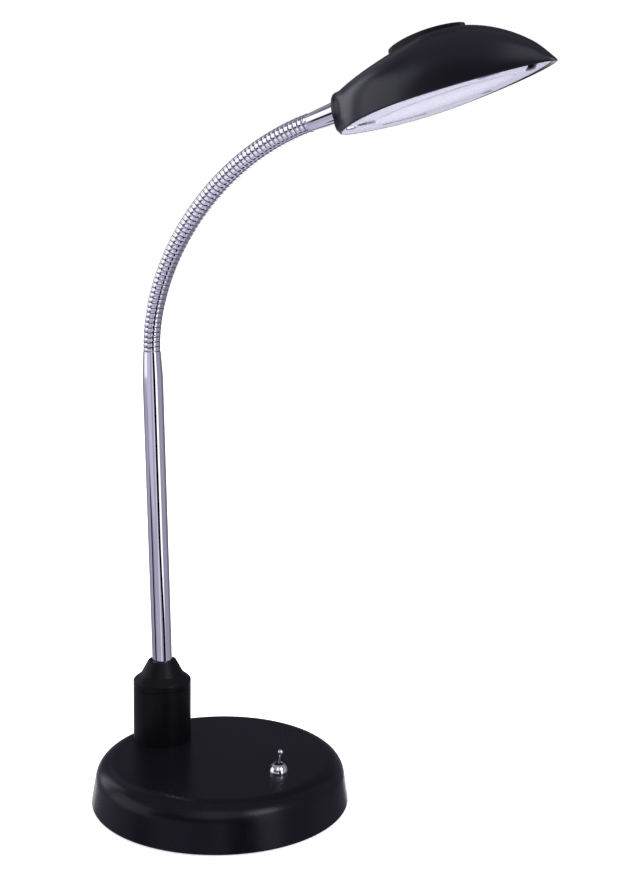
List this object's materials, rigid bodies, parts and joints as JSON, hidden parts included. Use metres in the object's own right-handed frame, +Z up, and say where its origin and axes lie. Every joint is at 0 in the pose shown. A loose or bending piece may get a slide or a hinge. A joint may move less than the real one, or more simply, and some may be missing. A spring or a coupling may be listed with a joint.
{
  "type": "gooseneck desk lamp",
  "caption": "Desk lamp with a weighted round base, toggle switch, leaning chrome stem, wound flexible neck and slim mussel-shaped LED head.",
  "frame": {"origin": "centre of the foot pad's underside, on the table", "axes": "+Z up; +X from the post to the toggle switch, the way the neck reaches; the stem, neck and head lie in the XZ plane at rest"},
  "size_m": [0.2682, 0.15, 0.4271],
  "materials": {
    "foam_pad": "closed-cell foam",
    "black_steel": "black paint",
    "iron_weight": "as cast",
    "satin_black": "satin",
    "gloss_black": "gloss",
    "zinc_screws": "zinc plated",
    "blue_plastic": "moulded",
    "terminal_brass": "tinned",
    "nickel": "nickel plated",
    "chrome": "polished",
    "black_nylon": "moulded",
    "board_green": "solder mask",
    "chip_black": "moulded",
    "red_wire": "insulation",
    "clear_wire": "insulation",
    "bush_steel": "turned",
    "white_board": "solder mask",
    "phosphor": "LED lens",
    "sink_aluminium": "extruded",
    "panel_plastic": "satin",
    "diffuser_plastic": "frosted"
  },
  "bodies": {
    "stand": {"foot_pad": "foam_pad", "base_plate": "black_steel", "base_weight": "iron_weight", "base_cover": "satin_black", "cover_screws": "zinc_screws", "weight_screws": "zinc_screws", "switch_body": "blue_plastic", "switch_terminals": "terminal_brass", "switch_bushing": "nickel", "switch_inner_nut": "nickel", "switch_washer": "nickel", "switch_dome_nut": "nickel", "inlet_body": "black_nylon", "inlet_pin": "nickel", "inlet_nut": "nickel", "driver_board": "board_green", "driver_parts": "chip_black", "supply_lead": "red_wire", "switch_lead": "red_wire", "stem_lead": "clear_wire", "post_sleeve": "satin_black", "post_cap": "satin_black", "post_bush": "bush_steel", "post_washer": "zinc_screws", "post_nut": "zinc_screws", "bush_grub_screw": "zinc_screws", "stem_tube": "chrome", "neck_root": "chrome", "neck_lead": "clear_wire"},
    "link_1": {"neck_link_1": "chrome"},
    "link_2": {"neck_link_2": "chrome"},
    "link_3": {"neck_link_3": "chrome"},
    "link_4": {"neck_link_4": "chrome"},
    "link_5": {"neck_link_5": "chrome"},
    "link_6": {"neck_link_6": "chrome"},
    "link_7": {"neck_link_7": "chrome"},
    "link_8": {"neck_link_8": "chrome"},
    "link_9": {"neck_link_9": "chrome"},
    "link_10": {"neck_link_10": "chrome"},
    "link_11": {"neck_link_11": "chrome"},
    "link_12": {"neck_link_12": "chrome"},
    "link_13": {"neck_link_13": "chrome"},
    "link_14": {"neck_link_14": "chrome"},
    "head": {"neck_tip": "chrome", "head_ferrule": "chrome", "ferrule_nut": "zinc_screws", "head_shade": "satin_black", "top_cap": "gloss_black", "cap_screws": "zinc_screws", "heat_sink": "sink_aluminium", "led_board": "white_board", "led_chips": "phosphor", "head_lead": "clear_wire", "underside_panel": "panel_plastic", "diffuser": "diffuser_plastic", "panel_screws": "zinc_screws"},
    "toggle": {"switch_lever": "nickel"}
  },
  "joints": [
    {"name": "neck_lower_bend", "type": "hinge", "parent": "stand", "child": "link_1", "pos_m": [-0.05311, 0, 0.26574], "axis": [0, 1, 0], "range_deg": [-5, 4.2], "deforming": ["neck_lead"]},
    {"name": "neck_lower_bend_2", "type": "hinge", "parent": "link_1", "child": "link_2", "pos_m": [-0.05189, 0, 0.27748], "axis": [0, 1, 0], "range_deg": [-5, 4.2]},
    {"name": "neck_lower_bend_3", "type": "hinge", "parent": "link_2", "child": "link_3", "pos_m": [-0.04919, 0, 0.28896], "axis": [0, 1, 0], "range_deg": [-5, 4.2]},
    {"name": "neck_sway", "type": "hinge", "parent": "link_3", "child": "link_4", "pos_m": [-0.04522, 0, 0.30008], "axis": [0.9234, 0, -0.3837], "range_deg": [-7, 7]},
    {"name": "neck_lower_bend_4", "type": "hinge", "parent": "link_4", "child": "link_5", "pos_m": [-0.04015, 0, 0.31073], "axis": [0, 1, 0], "range_deg": [-5, 4.2]},
    {"name": "neck_lower_bend_5", "type": "hinge", "parent": "link_5", "child": "link_6", "pos_m": [-0.03411, 0, 0.32087], "axis": [0, 1, 0], "range_deg": [-5, 4.2]},
    {"name": "neck_lower_bend_6", "type": "hinge", "parent": "link_6", "child": "link_7", "pos_m": [-0.02721, 0, 0.33044], "axis": [0, 1, 0], "range_deg": [-5, 4.2]},
    {"name": "neck_sway_2", "type": "hinge", "parent": "link_7", "child": "link_8", "pos_m": [-0.01956, 0, 0.33942], "axis": [0.7349, 0, -0.6782], "range_deg": [-7, 7]},
    {"name": "neck_upper_bend", "type": "hinge", "parent": "link_8", "child": "link_9", "pos_m": [-0.01122, 0, 0.34777], "axis": [0, 1, 0], "range_deg": [-4.2, 8.6]},
    {"name": "neck_upper_bend_2", "type": "hinge", "parent": "link_9", "child": "link_10", "pos_m": [-0.00226, 0, 0.35546], "axis": [0, 1, 0], "range_deg": [-4.2, 8.6]},
    {"name": "neck_upper_bend_3", "type": "hinge", "parent": "link_10", "child": "link_11", "pos_m": [0.00725, 0, 0.36244], "axis": [0, 1, 0], "range_deg": [-4.2, 8.6]},
    {"name": "neck_sway_3", "type": "hinge", "parent": "link_11", "child": "link_12", "pos_m": [0.01725, 0, 0.36869], "axis": [0.4978, 0, -0.8673], "range_deg": [-7, 7]},
    {"name": "neck_upper_bend_4", "type": "hinge", "parent": "link_12", "child": "link_13", "pos_m": [0.0277, 0, 0.37418], "axis": [0, 1, 0], "range_deg": [-4.2, 8.6]},
    {"name": "neck_upper_bend_5", "type": "hinge", "parent": "link_13", "child": "link_14", "pos_m": [0.03853, 0, 0.37888], "axis": [0, 1, 0], "range_deg": [-4.2, 8.6]},
    {"name": "neck_upper_bend_6", "type": "hinge", "parent": "link_14", "child": "head", "pos_m": [0.04967, 0, 0.38275], "axis": [0, 1, 0], "range_deg": [-4.2, 8.6]},
    {"name": "switch_toggle", "type": "hinge", "parent": "stand", "child": "toggle", "pos_m": [0.0414, 0, 0.0286], "axis": [1, 0, 0], "range_deg": [0, 24]}
  ],
  "couplings": [
    {"joint": "neck_lower_bend_2", "follows": "neck_lower_bend", "ratio": 1},
    {"joint": "neck_lower_bend_3", "follows": "neck_lower_bend", "ratio": 1},
    {"joint": "neck_lower_bend_4", "follows": "neck_lower_bend", "ratio": 1},
    {"joint": "neck_lower_bend_5", "follows": "neck_lower_bend", "ratio": 1},
    {"joint": "neck_lower_bend_6", "follows": "neck_lower_bend", "ratio": 1},
    {"joint": "neck_upper_bend_2", "follows": "neck_upper_bend", "ratio": 1},
    {"joint": "neck_upper_bend_3", "follows": "neck_upper_bend", "ratio": 1},
    {"joint": "neck_upper_bend_4", "follows": "neck_upper_bend", "ratio": 1},
    {"joint": "neck_upper_bend_5", "follows": "neck_upper_bend", "ratio": 1},
    {"joint": "neck_upper_bend_6", "follows": "neck_upper_bend", "ratio": 1},
    {"joint": "neck_sway_2", "follows": "neck_sway", "ratio": 1},
    {"joint": "neck_sway_3", "follows": "neck_sway", "ratio": 1}
  ]
}
